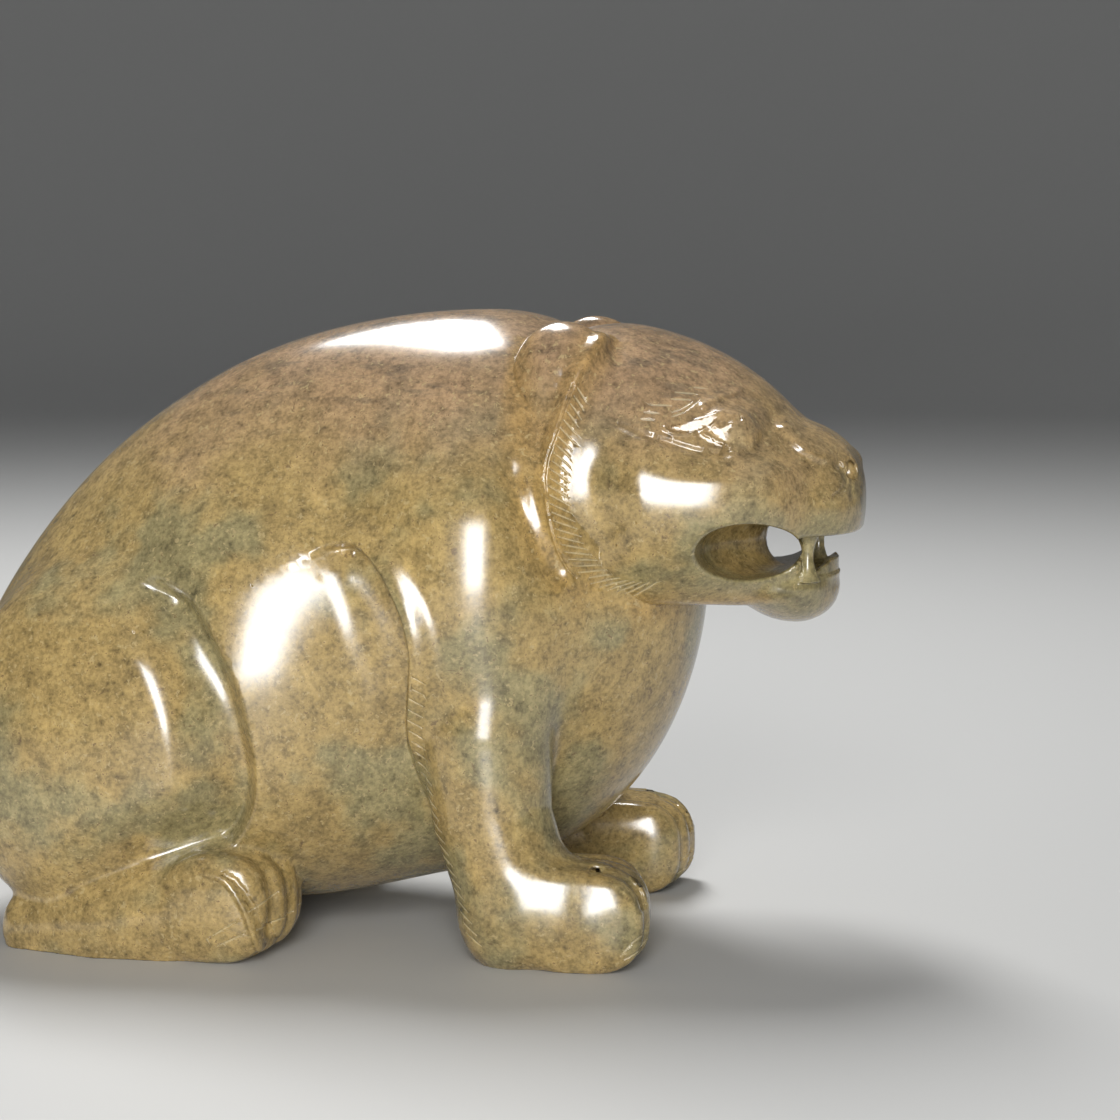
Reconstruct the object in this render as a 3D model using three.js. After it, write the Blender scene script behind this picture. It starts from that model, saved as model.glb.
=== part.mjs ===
// A crouching bear carved from one piece of jade.
// Millimetres, +Z up, nose towards +X, the same on both sides of the plane y = 0.
// The form is a signed distance: negative inside the stone, positive outside it.
import * as THREE from "three";

// Overall sizes
const bearLength = 92;
const bearHeight = 61.5;
const bearWidth = 51;

// The bear is drawn on a grid 92 steps long, 61.5 high and 51 wide, so its pose follows its own sizes.
const gridLength = 92;
const gridHeight = 61.5;
const gridWidth = 51;
const stepX = bearLength / gridLength;
const stepY = bearWidth / gridWidth;
const stepZ = bearHeight / gridHeight;

// Depths and widths of the carving
const haunchGrooveDepth = 2.4;
const haunchBevelWidth = 6.5;
const haunchLipWidth = 1.9;
const shoulderEdgeRise = 0.9;
const shoulderWallDepth = 0.9;
const shoulderWallWidth = 4;
const flankSlope = 0.085;
const flankBackX = -16;
const flankBend = 5;
const flankHeight = 26;
const flankReach = 16;
const ruffEdgeRounding = 0.7;
const ruffCrestRise = 0.7;
const ruffChannelDepth = 1.3;
const neckFoldDepth = 0.8;
const eyeDomeRadius = 2.9;
const eyeballRadius = 1.6;
const eyeSocketDepth = 0.6;
const browStep = 0.8;
const faceTaper = 0.15;
const bridgeRise = 0.6;
const cheekCreaseDepth = 0.35;
const nostrilRadius = 0.9;
const canineWaist = 1.1;
const canineFlare = 0.9;
const incisorHeight = 2.2;
const toeBlend = 0.8;
const pawBlend = 2.5;
const tailBlend = 1.2;

// How finely the surface is cut into facets
const cellSize = 0.8;
const blockCells = 6;
const facetCount = 9200;

const clamp = (value, low, high) => Math.min(high, Math.max(low, value));

function fade(from, to, value) {
  const t = clamp((value - from) / (to - from), 0, 1);
  return t * t * (3 - 2 * t);
}

// A bump that is 1 at zero and fades to 0 at the given width.
const bump = (offset, width) => 1 - fade(0, width, Math.abs(offset));

function blend(a, b, width) {
  const overlap = Math.max(width - Math.abs(a - b), 0) / width;
  return Math.min(a, b) - (overlap * overlap * width) / 4;
}

const meet = (a, b, width) => -blend(-a, -b, width);
const carve = (a, tool, width) => meet(a, -tool, width);

const at = (x, y, z) => [x * stepX, y * stepY, z * stepZ];

// An egg has its own reach to the back, front, side, top and bottom. It may pitch its front down, and a
// squareness over 2 gives it blunter corners.
function egg([cx, cy, cz], reach, pitch = 0, squareness = 2) {
  const cos = Math.cos(THREE.MathUtils.degToRad(pitch));
  const sin = Math.sin(THREE.MathUtils.degToRad(pitch));
  const back = reach.back * stepX;
  const front = reach.front * stepX;
  const side = reach.side * stepY;
  const up = reach.up * stepZ;
  const down = reach.down * stepZ;
  return (x, y, z) => {
    const dx = (x - cx) * cos - (z - cz) * sin;
    const dz = (x - cx) * sin + (z - cz) * cos;
    const a = dx > 0 ? front : back;
    const c = dz > 0 ? up : down;
    const qx = Math.abs(dx) / a;
    const qy = Math.abs(y - cy) / side;
    const qz = Math.abs(dz) / c;
    const near = (qx ** squareness + qy ** squareness + qz ** squareness) ** (1 / squareness);
    if (near < 1e-6) return -Math.min(a, side, c);
    const steep = squareness - 1;
    const slope = Math.hypot(qx ** steep / a, qy ** steep / side, qz ** steep / c) / near ** steep;
    return (near - 1) / slope;
  };
}

// A limb runs through joints, each a point with a girth, and its section may be taller than wide.
function limb(joints, tallness = 1) {
  const bones = joints.slice(1).map((end, i) => [joints[i], end]);
  return (x, y, z) => {
    let nearest = Infinity;
    for (const [[a, ra], [b, rb]] of bones) {
      const bx = b[0] - a[0];
      const by = b[1] - a[1];
      const bz = (b[2] - a[2]) / tallness;
      const px = x - a[0];
      const py = y - a[1];
      const pz = (z - a[2]) / tallness;
      const t = clamp((px * bx + py * by + pz * bz) / (bx * bx + by * by + bz * bz), 0, 1);
      const away = Math.hypot(px - t * bx, py - t * by, pz - t * bz);
      nearest = Math.min(nearest, away - (ra + t * (rb - ra)) * stepX);
    }
    return nearest;
  };
}

// A line drawn on the bear's side gives, for a point of the side plane, how far along and how far off it is.
// Off is positive to the left of the line as it is drawn.
function sideLine(points) {
  const corners = points.map(([x, z]) => new THREE.Vector3(x * stepX, z * stepZ, 0));
  const samples = new THREE.CatmullRomCurve3(corners).getPoints(corners.length * 4);
  const box = new THREE.Box3().setFromPoints(samples);
  return (x, z, reach = Infinity) => {
    const outX = Math.max(box.min.x - x, x - box.max.x, 0);
    const outZ = Math.max(box.min.y - z, z - box.max.y, 0);
    if (Math.max(outX, outZ) > reach) return null;
    let found = { away: Infinity, off: Infinity, along: 0 };
    for (let i = 0; i + 1 < samples.length; i++) {
      const a = samples[i];
      const bx = samples[i + 1].x - a.x;
      const bz = samples[i + 1].y - a.y;
      const px = x - a.x;
      const pz = z - a.y;
      const t = clamp((px * bx + pz * bz) / (bx * bx + bz * bz), 0, 1);
      const away = Math.hypot(px - t * bx, pz - t * bz);
      if (away < found.away) {
        const left = bx * pz - bz * px > 0 ? 1 : -1;
        found = { away, off: left * away, along: (i + t) / (samples.length - 1) };
      }
    }
    return found;
  };
}

// Trunk: a rump and a chest, run together along the back, and the barrel that fills the flanks and belly
const rump = egg(at(-24.7, 0, 18.1), { back: 22.1, front: 33, side: 24, up: 24.4, down: 15.3 });
const chest = egg(at(7.9, 0, 36.9), { back: 41.5, front: 21.3, side: 20.3, up: 24.7, down: 29.9 });
const barrel = egg(at(-14, 0, 27), { back: 18, front: 24, side: 24.3, up: 24, down: 23.4 });
const trunkBlend = 12;
const tail = limb([[at(-44.6, 0, 24), 1.7], [at(-45.1, 0, 17.5), 2.6], [at(-43.3, 0, 11.6), 2.2]]);

// Limbs, drawn for one side
const thigh = egg(at(-27, 15.5, 19), { back: 16, front: 14.6, side: 10, up: 17.4, down: 17 }, 0, 2.3);
const shoulder = egg(at(7.8, 10.5, 35), { back: 11, front: 10.3, side: 13.4, up: 15, down: 17 }, 0, 2.4);
const foreleg = limb([
  [at(10.6, 15.4, 33), 7.2],
  [at(9.8, 17, 22), 6.5],
  [at(10.6, 17.8, 14), 5.7],
  [at(13, 18, 6.2), 5.5],
]);
const hindFoot = limb(
  [
    [at(-35, 18.4, 1.8), 2.9],
    [at(-27, 20.3, 2.8), 3.8],
    [at(-21, 20.2, 3.9), 4.6],
    [at(-15.5, 19.6, 4.9), 4.9],
  ],
  1.28,
);

// Four blunt toes end each foot, side by side. The centre is the innermost one's, and tips are how far
// forward each reaches.
function toes([cx, cy, cz], { back, tips, spacing, side, up, down }) {
  return tips.map((tip, i) => egg(at(cx, cy + spacing * i, cz), { back, front: tip - cx, side, up, down }, 0, 2.7));
}
const frontToes = toes([19.3, 13.9, 4.6], {
  back: 6, tips: [24.9, 25.6, 25.9, 25.6], spacing: 2.45, side: 2.1, up: 5.1, down: 4.8,
});
const hindToes = toes([-15.2, 15.2, 5.2], {
  back: 5, tips: [-8.8, -8.5, -9, -10.1], spacing: 2.6, side: 2.2, up: 5.3, down: 5.2,
});
const heel = limb([[at(13, 18.1, 3.6), 5], [at(20, 18.4, 4.9), 4.9]]);

// Head: a wedge from ears to brow, full cheeks, a blunt muzzle stepped down from the brow, and a jaw
const cranium = egg(at(20, 0, 45), { back: 14, front: 21.6, side: 18.6, up: 15.3, down: 15 }, 12);
const cheek = egg(at(29, 6.5, 44.6), { back: 13, front: 10.5, side: 11.4, up: 4.9, down: 7.7 }, 0, 2.5);
const temple = egg(at(29, 7, 49.8), { back: 8, front: 6.4, side: 6.9, up: 3.4, down: 6 }, 0, 2.4);
const muzzle = egg(at(30, 0, 43.2), { back: 12, front: 14.6, side: 10.8, up: 8.5, down: 10 }, 0, 2.7);
const upperLip = egg(at(41, 4.7, 43), { back: 5, front: 2.6, side: 4.7, up: 3.2, down: 3.2 });
const lowerLip = egg(at(36.8, 4.4, 35), { back: 3.8, front: 4.2, side: 5, up: 1.5, down: 1.9 });
const noseWing = egg(at(42.4, 4, 46.6), { back: 2.4, front: 1.6, side: 1.9, up: 1.3, down: 1.3 });
const chin = egg(at(38, 0, 34.4), { back: 5.4, front: 4.2, side: 7.8, up: 1.9, down: 3.4 });
const ear = egg(at(16.4, 11.8, 56), { back: 4.7, front: 4.8, side: 3, up: 4.7, down: 7 });
const earLean = 0.3;
const browHeight = 48;

// Lines of the carving on the side, from the ear and shoulder downwards
const ruffEdge = sideLine([
  [12, 75], [12, 60], [12.3, 55.5], [13.4, 49.9], [14, 46.1], [15.2, 41.4], [17.3, 37.2], [20.2, 34.8],
  [24.9, 33.7], [30.5, 33.5], [34, 33.2], [44, 33],
]);
const ruffCrest = sideLine([
  [20.3, 59.2], [18.6, 56.2], [17.6, 53.6], [16.8, 50.8], [15.9, 47.9], [15.8, 45.1], [16.5, 41.4],
  [18, 37.6], [21, 35],
]);
const neckFold = sideLine([[11.6, 49.5], [12.5, 46.5], [13.4, 43.6], [14.6, 40.6], [16.4, 37.6]]);
const haunchGroove = sideLine([
  [-25, 36.2], [-20.6, 34.9], [-17.8, 33.1], [-15.4, 29.3], [-13.8, 25.6], [-12.9, 21.3], [-12.6, 18],
  [-13.3, 14.7], [-15.6, 11.7], [-20, 10], [-25.5, 8.2], [-31, 6.4],
]);
const shoulderEdge = sideLine([
  [-8, 38.2], [-5.2, 39.8], [-2.4, 40.3], [-0.5, 39.4], [1.4, 37.2], [3.1, 33.9], [4, 30.2], [3.8, 26.9],
  [3.3, 22.1], [3.9, 18.3], [5.8, 10.8],
]);
const cheekCrease = sideLine([[21.1, 51.7], [24.3, 50.4], [26.7, 49.6], [30, 48.6], [33.3, 48.4]]);
const upperLid = sideLine([[26.4, 50.7], [28.6, 51.5], [30.6, 52.2], [32.4, 52.4], [33.9, 51.8], [34.7, 50.7]]);
const lowerLid = sideLine([[26.4, 50.7], [28.6, 50.2], [30.6, 49.5], [32.2, 49.1], [33.7, 49.6], [34.7, 50.7]]);
const noseBridge = sideLine([[36.6, 51.9], [38.2, 49.9], [40.2, 48.4], [42.4, 47.3]]);

// Mouth: an opening bored from side to side, a gap between the lips, two canines and a rim of front teeth
const mouthCentre = at(34.4, 0, 39.1);
const mouthReachX = 4.7;
const mouthReachZ = 2.9;
const mouthWaistX = 0.44;
const mouthWaistZ = 0.84;
const lipGap = { back: 39.1, top: 40.2, bottom: 36.2 };
const canineFoot = at(39.6, 7.4, 35.7);
const canineTip = at(39.6, 7.4, 40.7);
const toothArch = { centre: 37.2, reachX: 4.2, reachY: 6.8, thickness: 1.4 };
const nostril = at(43.2, 4.6, 46.2);
const carvingReach = 4;

function body(x, y, z) {
  let d = blend(rump(x, y, z), chest(x, y, z), trunkBlend);
  d = blend(d, barrel(x, y, z), 5);
  d = blend(d, thigh(x, y, z), 4);
  d = blend(d, shoulder(x, y, z), 4);
  return x < -30 * stepX ? blend(d, tail(x, y, z), tailBlend) : d;
}

function limbs(x, y, z) {
  let leg = foreleg(x, y, z);
  let foot = hindFoot(x, y, z);
  if (z < 14 * stepZ) {
    let paw = heel(x, y, z);
    for (const toe of frontToes) paw = blend(paw, toe(x, y, z), toeBlend);
    for (const toe of hindToes) foot = blend(foot, toe(x, y, z), toeBlend);
    leg = blend(leg, paw, pawBlend);
  }
  return Math.min(leg, foot);
}

// The haunch is parted from the flank and the foot by a groove, with a long bevel on the thigh.
function haunchCarving(x, z) {
  const line = haunchGroove(x, z, haunchBevelWidth);
  if (!line) return 0;
  const width = line.off < 0 ? haunchBevelWidth : haunchLipWidth;
  const ends = fade(0, 0.15, line.along) * fade(-33 * stepX, -19 * stepX, x);
  return haunchGrooveDepth * bump(line.off, width) * ends;
}

// The shoulder ends in a raised edge that hooks over and runs down the leg, with a steep wall behind it.
function shoulderCarving(x, z) {
  const line = shoulderEdge(x, z, shoulderWallWidth);
  if (!line) return 0;
  const ends = fade(0, 0.25, line.along) * fade(1, 0.6, line.along);
  if (line.off > 0) return -shoulderEdgeRise * bump(line.off, 3) * ends;
  const wall = fade(0, -0.9, line.off) * bump(line.off, shoulderWallWidth);
  return (shoulderWallDepth * wall - shoulderEdgeRise * bump(line.off, 0.9)) * ends;
}

// The flank falls away forwards, down to the shoulder's edge.
function flankHollow(x, z) {
  const ahead = Math.max(x / stepX - flankBackX, 0);
  if (ahead === 0) return 0;
  const fall = ahead < flankBend ? ahead ** 2 / (2 * flankBend) : ahead - flankBend / 2;
  return flankSlope * fall * bump(z / stepZ - flankHeight, flankReach) * fade(0, -0.9, shoulderEdge(x, z).off);
}

function head(x, y, z) {
  const brow = 4 + (browStep - 4) * fade(browHeight - 2, browHeight, z / stepZ);
  const narrow = 1 + faceTaper * fade(22, 36, x / stepX) * fade(42, 52, z / stepZ);
  let d = blend(cranium(x, y * narrow, z), muzzle(x, y, z), brow);
  if (d > carvingReach) return d;
  d = meet(d, -ruffEdge(x, z).off, ruffEdgeRounding);
  d = blend(d, chin(x, y, z), 1.5);
  d = blend(d, temple(x, y, z), 2.5);
  d = blend(d, cheek(x, y, z), 3);
  d = blend(d, upperLip(x, y, z), 2);
  d = blend(d, lowerLip(x, y, z), 1);
  d = blend(d, noseWing(x, y, z), 0.8);
  const upright = y + earLean * (z - 56 * stepZ);
  d = blend(d, ear(x, upright, z), 1.2);
  const crest = y > 8 ? ruffCrest(x, z, 9) : null;
  if (crest) {
    const ends = fade(1, 0.85, crest.along);
    const channel = fade(-0.6, 4.2, crest.off) * fade(9, 4.2, crest.off) * fade(0, 0.3, crest.along);
    d += (ruffChannelDepth * channel - ruffCrestRise * bump(crest.off, 1.4)) * ends;
  }
  return d;
}

// How far out from the middle the head reaches at a point of the side plane
function headSide(x, z) {
  let inside = 0;
  let outside = bearWidth;
  while (outside - inside > 0.01) {
    const y = (inside + outside) / 2;
    if (head(x, y, z) < 0) inside = y;
    else outside = y;
  }
  return inside;
}

// A point at a depth under the head's surface, along the surface's own slope
function underHead([x, , z], depth) {
  const point = [x, headSide(x, z), z];
  const reach = 0.03;
  const slope = point.map((_, axis) => {
    const ahead = [...point];
    const behind = [...point];
    ahead[axis] += reach;
    behind[axis] -= reach;
    return head(...ahead) - head(...behind);
  });
  const length = Math.hypot(...slope);
  return point.map((value, axis) => value - (slope[axis] / length) * depth);
}
const eyeDome = underHead(at(33.2, 0, 50.7), 0.66 * eyeDomeRadius);
const eyeball = underHead(at(32.3, 0, 50.6), 0.76 * eyeballRadius);

function face(d, x, y, z) {
  d = blend(d, Math.hypot(x - eyeDome[0], y - eyeDome[1], z - eyeDome[2]) - eyeDomeRadius, 0.8);
  const upper = y > 5 ? upperLid(x, z, 1.5) : null;
  const lower = y > 5 ? lowerLid(x, z, 1.5) : null;
  if (upper && lower) d += eyeSocketDepth * fade(0.1, -0.9, upper.off) * fade(-0.1, 0.9, lower.off);
  d = blend(d, Math.hypot(x - eyeball[0], y - eyeball[1], z - eyeball[2]) - eyeballRadius, 0.15);
  const crease = y > 8 ? cheekCrease(x, z, 1) : null;
  if (crease) d += cheekCreaseDepth * bump(crease.away, 0.6) * fade(0, 0.1, crease.along);
  const bridge = y > 1 ? noseBridge(x, z, 1.5) : null;
  if (bridge) d -= bridgeRise * bump(bridge.away, 1.2) * fade(0, 0.2, bridge.along) * fade(1, 0.8, bridge.along);
  const nose = Math.hypot(x - nostril[0], y - nostril[1], z - nostril[2]);
  return carve(d, nose - nostrilRadius, 0.3);
}

function mouth(d, x, y, z) {
  const wide = fade(0, 10 * stepY, y);
  const reachX = mouthReachX * (mouthWaistX + (1 - mouthWaistX) * wide);
  const reachZ = mouthReachZ * (mouthWaistZ + (1 - mouthWaistZ) * wide);
  const qx = (x - mouthCentre[0] - (mouthReachX - reachX)) / reachX;
  const qz = (z - mouthCentre[2]) / reachZ;
  const bore = (Math.hypot(qx, qz) - 1) * reachZ;
  const gapMiddle = ((lipGap.top + lipGap.bottom) / 2) * stepZ;
  const gapHalf = ((lipGap.top - lipGap.bottom) / 2) * stepZ;
  const gap = Math.max(lipGap.back * stepX - x, Math.abs(z - gapMiddle) - gapHalf);
  d = carve(d, Math.min(bore, gap), 0.5);
  const rise = clamp((z - canineFoot[2]) / (canineTip[2] - canineFoot[2]), 0, 1);
  const pillar = canineWaist / 2 + canineFlare * (2 * rise - 1) ** 2;
  const canine = Math.max(
    Math.hypot(x - canineFoot[0], y - canineFoot[1]) - pillar,
    canineFoot[2] - z,
    z - canineTip[2],
  );
  const fromArch = Math.hypot((x - toothArch.centre * stepX) / toothArch.reachX, y / toothArch.reachY) - 1;
  const teeth = Math.max(
    toothArch.centre * stepX - x,
    Math.abs(fromArch) * toothArch.reachX - toothArch.thickness / 2,
    canineFoot[2] - z,
    z - canineFoot[2] - incisorHeight * (0.3 + 0.7 * fade(39.5 * stepX, 42.5 * stepX, x)),
  );
  return Math.min(d, blend(canine, teeth, 0.4));
}

function bearDistance(x, signedY, z) {
  const y = Math.abs(signedY);
  let d = body(x, y, z);
  if (Math.abs(d) < carvingReach && y > 8) {
    d += haunchCarving(x, z) + shoulderCarving(x, z) + flankHollow(x, z);
    const fold = neckFold(x, z, 3);
    if (fold) d += neckFoldDepth * bump(fold.off, 2.2) * fade(0, 0.3, fold.along);
  }
  d = blend(d, limbs(x, y, z), 1);
  if (x > 4 * stepX) {
    let bearHead = head(x, y, z);
    if (bearHead < carvingReach) bearHead = face(bearHead, x, y, z);
    d = Math.min(d, bearHead);
    if (x > 28 * stepX && d < carvingReach) d = mouth(d, x, y, z);
  }
  return Math.max(d, -z);
}

// Where stone would meet stone only along an edge or at a corner of the grid, the smaller gap is filled.
function fillPinches(values, size, index) {
  const filled = -0.05;
  const strides = [index(1, 0, 0), index(0, 1, 0), index(0, 0, 1)];
  const wholeStep = strides[0] + strides[1] + strides[2];
  const fillSmallest = (places) => {
    places.sort((a, b) => values[a] - values[b]);
    values[places[0]] = filled;
  };
  let changed = true;
  while (changed) {
    changed = false;
    for (let k = 1; k < size[2] - 2; k++)
      for (let j = 1; j < size[1] - 2; j++)
        for (let i = 1; i < size[0] - 2; i++) {
          const here = index(i, j, k);
          if (Math.abs(values[here]) > 3 * cellSize) continue;
          for (const [u, v] of [[0, 1], [1, 2], [2, 0]]) {
            const crossed = [here, here + strides[u] + strides[v]];
            const others = [here + strides[u], here + strides[v]];
            const insides = crossed.filter((place) => values[place] < 0).length;
            const otherInsides = others.filter((place) => values[place] < 0).length;
            if (insides + otherInsides !== 2 || insides === 1) continue;
            fillSmallest(insides ? others : crossed);
            changed = true;
          }
          const insides = [];
          const outsides = [];
          for (let c = 0; c < 8; c++) {
            const place = here + (c & 1) * strides[0] + ((c >> 1) & 1) * strides[1] + (c >> 2) * strides[2];
            (values[place] < 0 ? insides : outsides).push(place);
          }
          const isOpposite = (pair) => pair.length === 2 && pair[0] + pair[1] === 2 * here + wholeStep;
          if (isOpposite(insides) || isOpposite(outsides)) {
            fillSmallest(outsides);
            changed = true;
          }
        }
  }
}

// Surface of the form: one point in each cell that the surface passes through, joined into quads
function surface(distance, low, high) {
  const size = low.map((value, axis) => {
    const cells = Math.ceil((high[axis] - value) / cellSize / blockCells) * blockCells;
    return cells + 1;
  });
  const index = (i, j, k) => (k * size[1] + j) * size[0] + i;
  const place = (i, j, k) => [low[0] + i * cellSize, low[1] + j * cellSize, low[2] + k * cellSize];
  const values = new Float32Array(size[0] * size[1] * size[2]).fill(1e3);
  const blockReach = blockCells * cellSize * 1.1;
  for (let k = 0; k < size[2]; k += blockCells)
    for (let j = 0; j < size[1]; j += blockCells)
      for (let i = 0; i < size[0]; i += blockCells) {
        const middle = place(i, j, k).map((value) => value + (blockCells * cellSize) / 2);
        const d = distance(...middle);
        const near = Math.abs(d) < blockReach;
        for (let c = k; c < Math.min(k + blockCells, size[2]); c++)
          for (let b = j; b < Math.min(j + blockCells, size[1]); b++)
            for (let a = i; a < Math.min(i + blockCells, size[0]); a++)
              values[index(a, b, c)] = near ? distance(...place(a, b, c)) : d;
      }

  fillPinches(values, size, index);
  const cellPoint = new Map();
  const points = [];
  const corners = Array.from({ length: 8 }, (_, n) => [n & 1, (n >> 1) & 1, n >> 2]);
  function pointOf(i, j, k) {
    const key = index(i, j, k);
    if (cellPoint.has(key)) return cellPoint.get(key);
    const sum = [0, 0, 0];
    let crossings = 0;
    for (let n = 0; n < 8; n++)
      for (const axisBit of [1, 2, 4]) {
        if (n & axisBit) continue;
        const a = corners[n];
        const b = corners[n | axisBit];
        const va = values[index(i + a[0], j + a[1], k + a[2])];
        const vb = values[index(i + b[0], j + b[1], k + b[2])];
        if (va < 0 === vb < 0) continue;
        const t = va / (va - vb);
        for (let axis = 0; axis < 3; axis++) sum[axis] += a[axis] + t * (b[axis] - a[axis]);
        crossings++;
      }
    const base = place(i, j, k);
    cellPoint.set(key, points.length);
    points.push(base.map((value, axis) => value + (sum[axis] / crossings) * cellSize));
    return points.length - 1;
  }

  const faces = [];
  const around = [[1, 2], [2, 0], [0, 1]];
  for (let k = 1; k < size[2] - 1; k++)
    for (let j = 1; j < size[1] - 1; j++)
      for (let i = 1; i < size[0] - 1; i++)
        for (let axis = 0; axis < 3; axis++) {
          const next = [i, j, k];
          next[axis]++;
          const here = values[index(i, j, k)];
          const there = values[index(...next)];
          if (here < 0 === there < 0) continue;
          const [u, v] = around[axis];
          const quad = [[0, 0], [-1, 0], [-1, -1], [0, -1]].map(([du, dv]) => {
            const cell = [i, j, k];
            cell[u] += du;
            cell[v] += dv;
            return pointOf(...cell);
          });
          if (here >= 0) quad.reverse();
          faces.push([quad[0], quad[1], quad[2]], [quad[0], quad[2], quad[3]]);
        }
  return { points, faces };
}

// Moves each point along the slope of the distance onto the surface itself.
function settle(points, distance) {
  const reach = 0.02;
  for (const point of points)
    for (let pass = 0; pass < 2; pass++) {
      const d = distance(...point);
      const slope = [0, 1, 2].map((axis) => {
        const ahead = [...point];
        const behind = [...point];
        ahead[axis] += reach;
        behind[axis] -= reach;
        return (distance(...ahead) - distance(...behind)) / (2 * reach);
      });
      const steep = slope[0] ** 2 + slope[1] ** 2 + slope[2] ** 2;
      const push = clamp(d / Math.max(steep, 0.2), -cellSize / 3, cellSize / 3);
      for (let axis = 0; axis < 3; axis++) point[axis] -= push * slope[axis];
    }
}

// Merges neighbouring points, cheapest first, where that moves the surface least.
function simplify({ points, faces }, target) {
  const corner = faces.map((face) => [...face]);
  const alive = new Uint8Array(faces.length).fill(1);
  const touching = points.map(() => new Set());
  corner.forEach((face, f) => face.forEach((p) => touching[p].add(f)));
  const quadrics = points.map(() => new Float64Array(10));
  const age = new Uint32Array(points.length);

  function normalOf(a, b, c) {
    const ux = b[0] - a[0];
    const uy = b[1] - a[1];
    const uz = b[2] - a[2];
    const vx = c[0] - a[0];
    const vy = c[1] - a[1];
    const vz = c[2] - a[2];
    return [uy * vz - uz * vy, uz * vx - ux * vz, ux * vy - uy * vx];
  }
  for (const [a, b, c] of corner) {
    const n = normalOf(points[a], points[b], points[c]);
    const area = Math.hypot(...n);
    if (area < 1e-12) continue;
    const [x, y, z] = n.map((value) => value / area);
    const w = -(x * points[a][0] + y * points[a][1] + z * points[a][2]);
    const terms = [x * x, x * y, x * z, x * w, y * y, y * z, y * w, z * z, z * w, w * w];
    for (const p of [a, b, c]) terms.forEach((term, i) => (quadrics[p][i] += term * area));
  }

  function errorAt(q, [x, y, z]) {
    return q[0] * x * x + 2 * q[1] * x * y + 2 * q[2] * x * z + 2 * q[3] * x + q[4] * y * y
      + 2 * q[5] * y * z + 2 * q[6] * y + q[7] * z * z + 2 * q[8] * z + q[9];
  }
  function bestPlace(q, a, b) {
    const middle = a.map((value, i) => (value + b[i]) / 2);
    const c0 = q[4] * q[7] - q[5] * q[5];
    const c1 = q[2] * q[5] - q[1] * q[7];
    const c2 = q[1] * q[5] - q[2] * q[4];
    const det = q[0] * c0 + q[1] * c1 + q[2] * c2;
    const choices = [middle, a, b];
    if (Math.abs(det) > 1e-7) {
      const x = -(c0 * q[3] + c1 * q[6] + c2 * q[8]) / det;
      const y = -(c1 * q[3] + (q[0] * q[7] - q[2] * q[2]) * q[6] + (q[1] * q[2] - q[0] * q[5]) * q[8]) / det;
      const z = -(c2 * q[3] + (q[1] * q[2] - q[0] * q[5]) * q[6] + (q[0] * q[4] - q[1] * q[1]) * q[8]) / det;
      const span = Math.hypot(a[0] - b[0], a[1] - b[1], a[2] - b[2]);
      const stray = Math.hypot(x - middle[0], y - middle[1], z - middle[2]);
      if (stray < span) return [x, y, z];
    }
    return choices.reduce((best, place) => (errorAt(q, place) < errorAt(q, best) ? place : best));
  }

  // A binary heap of the edges, by cost
  const heap = [];
  function lift(i) {
    while (i > 0) {
      const parent = (i - 1) >> 1;
      if (heap[parent].cost <= heap[i].cost) return;
      [heap[parent], heap[i]] = [heap[i], heap[parent]];
      i = parent;
    }
  }
  function takeCheapest() {
    const top = heap[0];
    const last = heap.pop();
    if (heap.length) {
      heap[0] = last;
      let i = 0;
      for (;;) {
        let child = 2 * i + 1;
        if (child >= heap.length) break;
        if (child + 1 < heap.length && heap[child + 1].cost < heap[child].cost) child++;
        if (heap[i].cost <= heap[child].cost) break;
        [heap[child], heap[i]] = [heap[i], heap[child]];
        i = child;
      }
    }
    return top;
  }
  function offer(a, b) {
    const q = quadrics[a].map((value, i) => value + quadrics[b][i]);
    const place = bestPlace(q, points[a], points[b]);
    const span = (points[a][0] - points[b][0]) ** 2 + (points[a][1] - points[b][1]) ** 2
      + (points[a][2] - points[b][2]) ** 2;
    heap.push({ a, b, place, cost: errorAt(q, place) + 1e-5 * span, ages: [age[a], age[b]] });
    lift(heap.length - 1);
  }
  const neighbours = (p) => {
    const found = new Set();
    for (const f of touching[p]) for (const other of corner[f]) if (other !== p) found.add(other);
    return found;
  };
  points.forEach((_, p) => {
    for (const other of neighbours(p)) if (other > p) offer(p, other);
  });

  function turnsOver(p, gone, place) {
    for (const f of touching[p]) {
      const face = corner[f];
      if (face.includes(gone)) continue;
      const before = normalOf(...face.map((c) => points[c]));
      const moved = face.map((c) => (c === p ? place : points[c]));
      const after = normalOf(...moved);
      const dot = before[0] * after[0] + before[1] * after[1] + before[2] * after[2];
      const sizes = Math.hypot(...before) * Math.hypot(...after);
      if (dot < 0.3 * sizes || Math.hypot(...after) < 1e-3) return true;
      const longest = Math.max(...moved.map((c, i) => {
        const d = moved[(i + 1) % 3];
        return Math.hypot(c[0] - d[0], c[1] - d[1], c[2] - d[2]);
      }));
      if (Math.hypot(...after) < 0.08 * longest * longest) return true;
    }
    return false;
  }

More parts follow.
